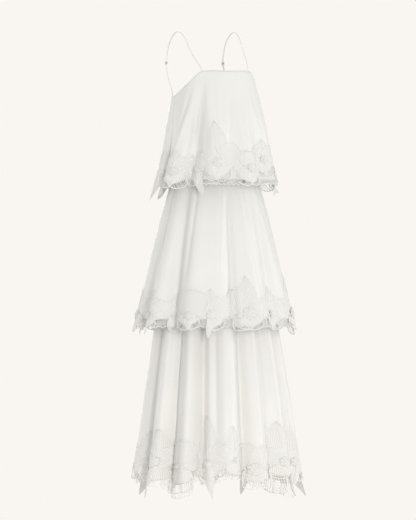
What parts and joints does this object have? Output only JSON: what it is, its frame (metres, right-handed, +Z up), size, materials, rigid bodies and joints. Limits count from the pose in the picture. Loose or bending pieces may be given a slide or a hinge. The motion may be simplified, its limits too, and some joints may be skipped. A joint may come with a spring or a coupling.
{
  "type": "maxi dress",
  "caption": "Sleeveless white maxi dress of three flared tiers on thin adjustable straps, each tier hemmed with cutwork orchid lace, filled out as worn.",
  "frame": {"origin": "midway between the tops of the two straps, where the wearer's shoulders carry the dress", "axes": "+Z up; the wearer faces -Y and the wearer's left is +X"},
  "size_m": [0.5763, 0.4813, 1.4489],
  "materials": {
    "crepe": "soft satin-backed crepe, ivory white",
    "lace": "embroidered cutwork lace, ivory white thread",
    "strap": "narrow satin strap",
    "slider_metal": "small dark metal slider"
  },
  "bodies": {
    "root": {"bodice_front": "crepe", "bodice_back": "crepe", "overlay_front": "crepe", "overlay_back": "crepe", "overlay_lace_front": "lace", "overlay_lace_back": "lace", "mid_tier_front": "crepe", "mid_tier_back": "crepe", "mid_tier_lace_front": "lace", "mid_tier_lace_back": "lace", "skirt_front": "crepe", "skirt_back": "crepe", "skirt_lace_front": "lace", "skirt_lace_back": "lace", "strap_left": "strap", "strap_right": "strap", "slider_left": "slider_metal", "slider_right": "slider_metal"}
  },
  "joints": []
}
